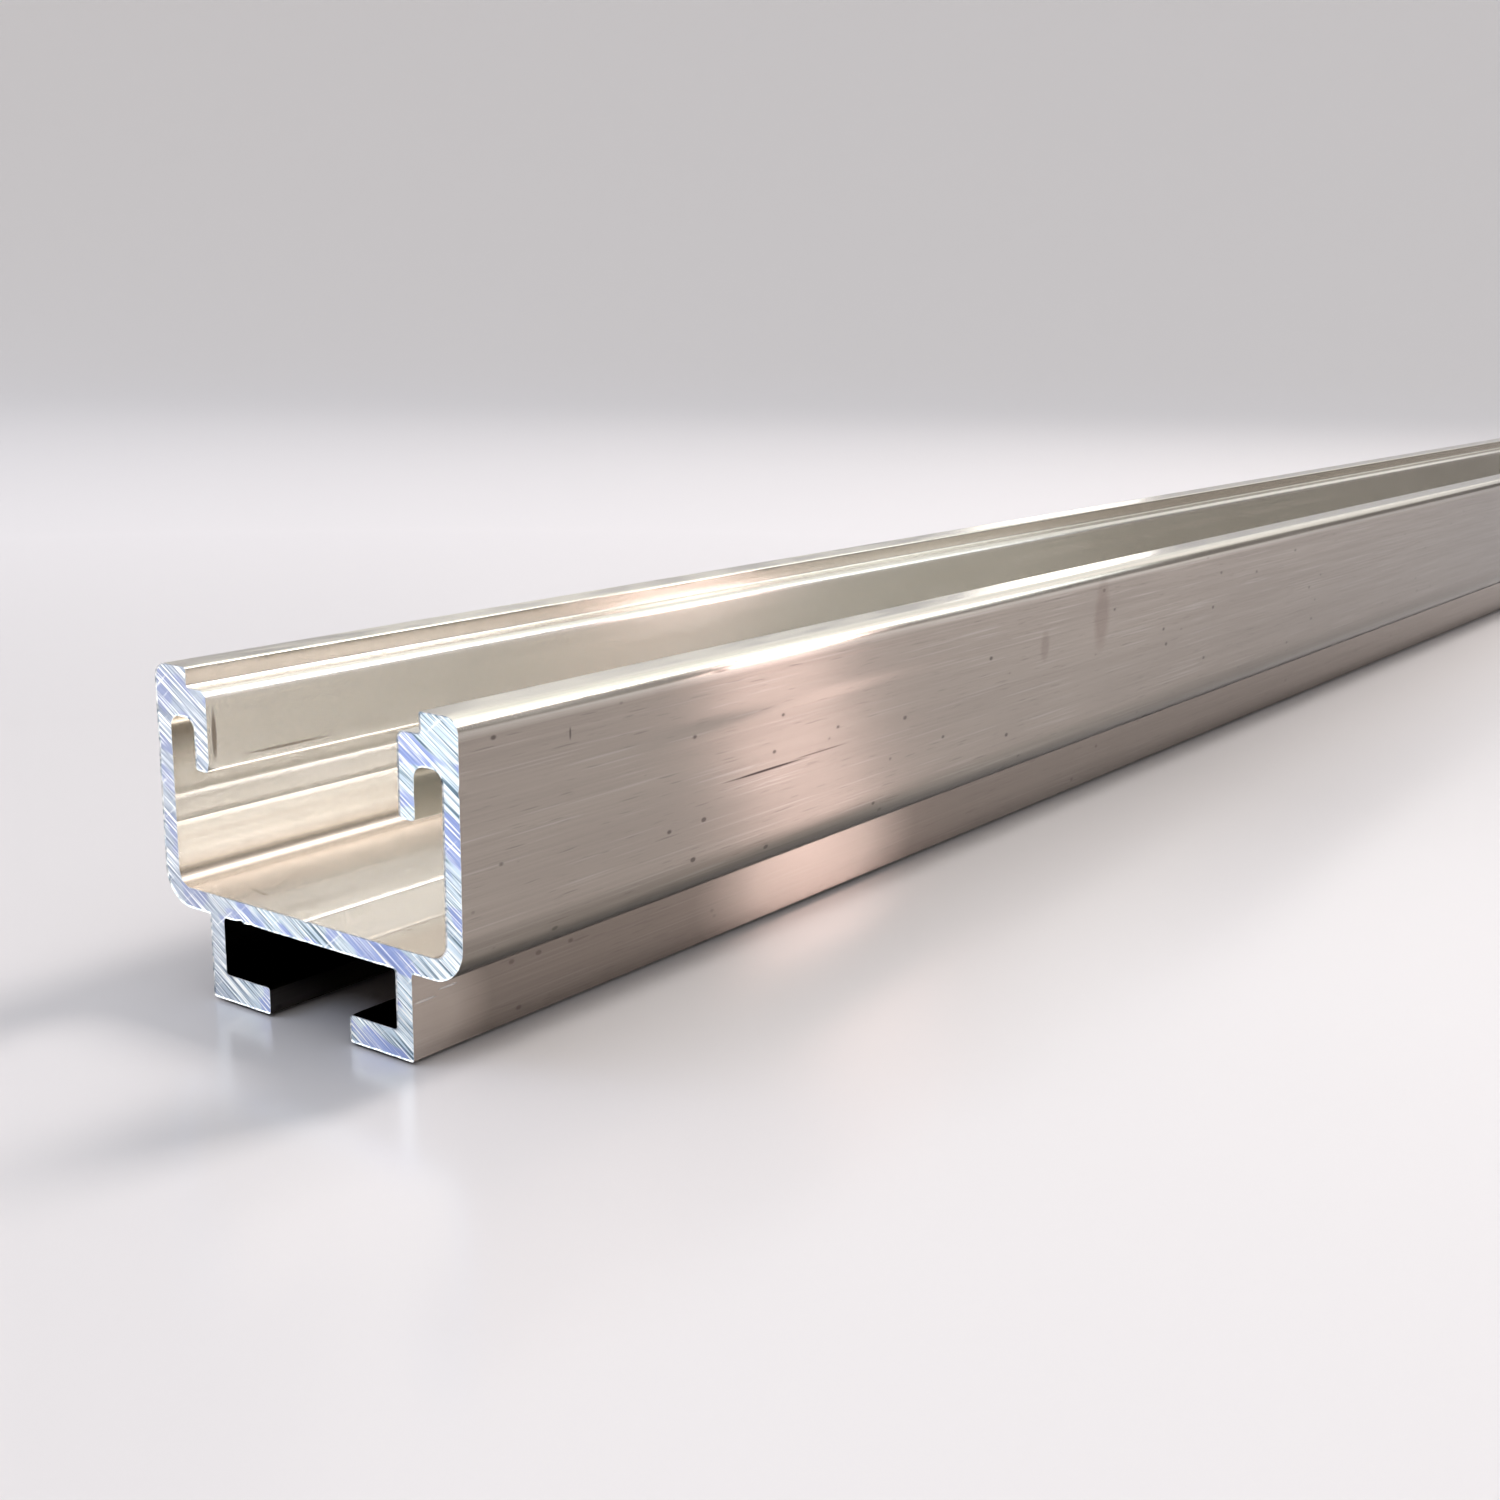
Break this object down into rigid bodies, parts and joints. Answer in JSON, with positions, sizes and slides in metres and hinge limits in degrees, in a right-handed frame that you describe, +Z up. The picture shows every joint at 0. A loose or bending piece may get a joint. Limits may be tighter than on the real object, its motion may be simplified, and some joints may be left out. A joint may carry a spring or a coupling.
{
  "type": "mounting rail",
  "caption": "Open-topped aluminium channel rail with stepped lipped walls and a T-slot for bolt heads between two foot flanges under its web.",
  "frame": {"origin": "under the middle of the rail, on the surface that its two foot flanges lie on", "axes": "+Z up through the open channel, +Y along the rail's length, +X across its width"},
  "size_m": [0.04, 1.2, 0.032],
  "materials": {
    "rail_aluminium": "mill finish with lengthwise extrusion lines; bright saw-cut ends"
  },
  "bodies": {
    "root": {"rail": "rail_aluminium"}
  },
  "joints": []
}
